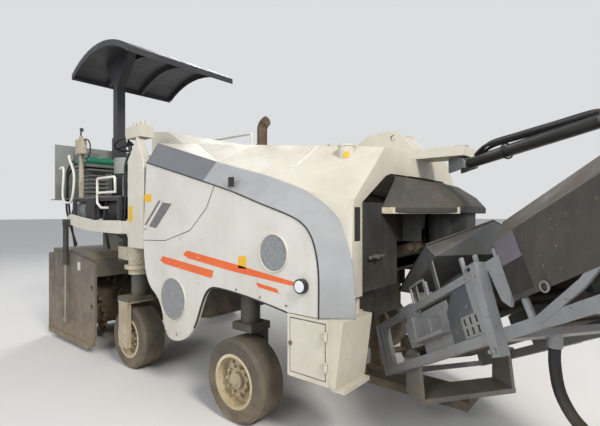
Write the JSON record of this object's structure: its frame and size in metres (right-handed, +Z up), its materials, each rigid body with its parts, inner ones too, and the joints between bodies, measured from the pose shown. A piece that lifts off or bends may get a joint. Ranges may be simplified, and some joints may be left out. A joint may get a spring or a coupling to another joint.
{
  "type": "wheeled cold planer milling machine",
  "caption": "Compact road milling machine on solid-tyred wheels, with a drum at the rear right and a slewing discharge conveyor in front.",
  "frame": {"origin": "on the ground below the front axle, on the machine's centre line", "axes": "+X forward to the discharge conveyor, +Y to the machine's left, +Z up"},
  "size_m": [10.8948, 5.5168, 4.2484],
  "materials": {
    "chassis_frame": "matt black paint",
    "side_panels": "worn satin paint",
    "arch_beams": "worn satin paint",
    "front_hood": "worn satin paint",
    "rear_cowl": "worn satin paint",
    "gantry": "worn satin paint",
    "engine": "matt black paint",
    "front_corners": "worn satin paint",
    "platform": "worn satin paint",
    "rear_tank": "worn satin paint",
    "handrails": "worn satin paint",
    "seat_frame": "matt black paint",
    "seat_cushion": "vinyl",
    "console": "worn satin paint",
    "control_box": "worn satin paint",
    "canopy_mast": "matt black paint",
    "drum_housing": "worn satin paint",
    "primary_frame": "matt black paint",
    "primary_belt": "dusty rubber",
    "primary_head": "matt black paint",
    "column_sleeves": "matt black paint",
    "rear_left_leg": "matt black paint",
    "lamps": "worn grey paint",
    "hood": "worn satin paint",
    "exhaust": "worn grey paint",
    "canopy_post": "matt black paint",
    "canopy_roof": "matt black paint",
    "tool_door": "worn satin paint",
    "steering_wheel": "matt",
    "side_plate_right": "worn grey paint",
    "side_plate_left": "worn grey paint",
    "scraper_door": "worn satin paint",
    "drum": "worn grey paint",
    "fork_front_right": "matt black paint",
    "tyre_front_right": "dusty rubber",
    "rim_front_right": "worn satin paint",
    "fork_front_left": "matt black paint",
    "tyre_front_left": "dusty rubber",
    "rim_front_left": "worn satin paint",
    "tyre_rear_left": "dusty rubber",
    "rim_rear_left": "worn satin paint",
    "swing_arm": "worn satin paint",
    "fork_rear_right": "matt black paint",
    "tyre_rear_right": "dusty rubber",
    "rim_rear_right": "worn satin paint",
    "slew_bracket": "worn satin paint",
    "conveyor_frame": "worn grey paint",
    "conveyor_hopper": "worn grey paint",
    "conveyor_cover": "matt black paint",
    "conveyor_belt": "dusty rubber",
    "conveyor_rollers": "worn grey paint",
    "lift_barrel": "matt black paint",
    "lift_rod": "worn grey paint",
    "hose_loop": "dusty rubber"
  },
  "bodies": {
    "chassis": {"chassis_frame": "chassis_frame", "side_panels": "side_panels", "arch_beams": "arch_beams", "front_hood": "front_hood", "rear_cowl": "rear_cowl", "gantry": "gantry", "engine": "engine", "front_corners": "front_corners", "platform": "platform", "rear_tank": "rear_tank", "handrails": "handrails", "seat_frame": "seat_frame", "seat_cushion": "seat_cushion", "console": "console", "control_box": "control_box", "canopy_mast": "canopy_mast", "drum_housing": "drum_housing", "primary_frame": "primary_frame", "primary_belt": "primary_belt", "primary_head": "primary_head", "column_sleeves": "column_sleeves", "rear_left_leg": "rear_left_leg", "lamps": "lamps"},
    "slew": {"slew_bracket": "slew_bracket"},
    "conveyor": {"conveyor_frame": "conveyor_frame", "conveyor_hopper": "conveyor_hopper", "conveyor_cover": "conveyor_cover", "conveyor_belt": "conveyor_belt", "conveyor_rollers": "conveyor_rollers", "hose_loop": "hose_loop"},
    "lift_barrel": {"lift_barrel": "lift_barrel"},
    "lift_rod": {"lift_rod": "lift_rod"},
    "hood": {"hood": "hood", "exhaust": "exhaust"},
    "canopy": {"canopy_post": "canopy_post", "canopy_roof": "canopy_roof"},
    "tool_door": {"tool_door": "tool_door"},
    "steering_wheel": {"steering_wheel": "steering_wheel"},
    "plate_right": {"side_plate_right": "side_plate_right"},
    "plate_left": {"side_plate_left": "side_plate_left"},
    "scraper_door": {"scraper_door": "scraper_door"},
    "drum": {"drum": "drum"},
    "fork_front_right": {"fork_front_right": "fork_front_right"},
    "wheel_front_right": {"tyre_front_right": "tyre_front_right", "rim_front_right": "rim_front_right"},
    "fork_front_left": {"fork_front_left": "fork_front_left"},
    "wheel_front_left": {"tyre_front_left": "tyre_front_left", "rim_front_left": "rim_front_left"},
    "wheel_rear_left": {"tyre_rear_left": "tyre_rear_left", "rim_rear_left": "rim_rear_left"},
    "swing_arm": {"swing_arm": "swing_arm"},
    "fork_rear_right": {"fork_rear_right": "fork_rear_right"},
    "wheel_rear_right": {"tyre_rear_right": "tyre_rear_right", "rim_rear_right": "rim_rear_right"}
  },
  "joints": [
    {"name": "slew_turn", "type": "hinge", "parent": "chassis", "child": "slew", "pos_m": [1.35, 0, 2.1], "axis": [0, 0, 1], "range_deg": [-14, 86]},
    {"name": "conveyor_lift", "type": "hinge", "parent": "slew", "child": "conveyor", "pos_m": [1.35, 0, 0.5], "axis": [-0.5878, -0.809, 0], "range_deg": [-22, 4]},
    {"name": "lift_barrel_tilt", "type": "hinge", "parent": "slew", "child": "lift_barrel", "pos_m": [1.42281, -0.0529, 2.05], "axis": [-0.5878, -0.809, 0], "range_deg": [-30, 8]},
    {"name": "lift_rod_slide", "type": "slide", "parent": "lift_barrel", "child": "lift_rod", "axis": [0.8053, -0.5851, 0.0955], "range_m": [-0.12, 0.62]},
    {"name": "hood_lift", "type": "hinge", "parent": "chassis", "child": "hood", "pos_m": [0.344, 0, 2.2567], "axis": [0, 1, 0], "range_deg": [0, 40]},
    {"name": "canopy_height", "type": "slide", "parent": "chassis", "child": "canopy", "axis": [0, 0, 1], "range_m": [-0.7, 0]},
    {"name": "tool_door_hinge", "type": "hinge", "parent": "chassis", "child": "tool_door", "pos_m": [0.906, -1.264, 0.76], "axis": [0, 0, 1], "range_deg": [0, 110]},
    {"name": "front_steer", "type": "hinge", "parent": "chassis", "child": "fork_front_right", "pos_m": [0, -1.06, 0.33], "axis": [0, 0, 1], "range_deg": [-30, 30]},
    {"name": "front_steer_left", "type": "hinge", "parent": "chassis", "child": "fork_front_left", "pos_m": [0, 1.06, 0.33], "axis": [0, 0, 1], "range_deg": [-30, 30]},
    {"name": "steering_wheel_turn", "type": "hinge", "parent": "chassis", "child": "steering_wheel", "pos_m": [-2.55, -0.75, 2.54], "axis": [-0.4226, 0, 0.9063], "range_deg": [-360, 360]},
    {"name": "wheel_front_right_spin", "type": "hinge", "parent": "fork_front_right", "child": "wheel_front_right", "pos_m": [0, -1.125, 0.33], "axis": [0, 1, 0], "continuous": true},
    {"name": "wheel_front_left_spin", "type": "hinge", "parent": "fork_front_left", "child": "wheel_front_left", "pos_m": [0, 1.125, 0.33], "axis": [0, 1, 0], "continuous": true},
    {"name": "wheel_rear_left_spin", "type": "hinge", "parent": "chassis", "child": "wheel_rear_left", "pos_m": [-3, 1.125, 0.33], "axis": [0, 1, 0], "continuous": true},
    {"name": "arm_swing", "type": "hinge", "parent": "chassis", "child": "swing_arm", "pos_m": [-2.05, -1.06, 1.2], "axis": [0, 0, 1], "range_deg": [-90, 0]},
    {"name": "arm_wheel_turn", "type": "hinge", "parent": "swing_arm", "child": "fork_rear_right", "pos_m": [-1.75, -1.06, 0.33], "axis": [0, 0, 1], "range_deg": [-30, 120]},
    {"name": "wheel_rear_right_spin", "type": "hinge", "parent": "fork_rear_right", "child": "wheel_rear_right", "pos_m": [-1.75, -1.063, 0.33], "axis": [0, 1, 0], "continuous": true},
    {"name": "plate_right_lift", "type": "slide", "parent": "chassis", "child": "plate_right", "axis": [0, 0, 1], "range_m": [0, 0.22]},
    {"name": "plate_left_lift", "type": "slide", "parent": "chassis", "child": "plate_left", "axis": [0, 0, 1], "range_m": [0, 0.22]},
    {"name": "scraper_door_hinge", "type": "hinge", "parent": "chassis", "child": "scraper_door", "pos_m": [-3.737, 0, 0.88], "axis": [0, 1, 0], "range_deg": [0, 90]},
    {"name": "drum_spin", "type": "hinge", "parent": "chassis", "child": "drum", "pos_m": [-3.1, -0.59, 0.55], "axis": [0, 1, 0], "continuous": true}
  ],
  "couplings": [
    {"joint": "front_steer_left", "follows": "front_steer", "ratio": 1},
    {"joint": "steering_wheel_turn", "follows": "front_steer", "ratio": 8},
    {"joint": "arm_wheel_turn", "follows": "arm_swing", "ratio": -1},
    {"joint": "lift_barrel_tilt", "follows": "conveyor_lift", "ratio": 0.99},
    {"joint": "lift_rod_slide", "follows": "conveyor_lift", "m_per_rad": -1.55}
  ]
}
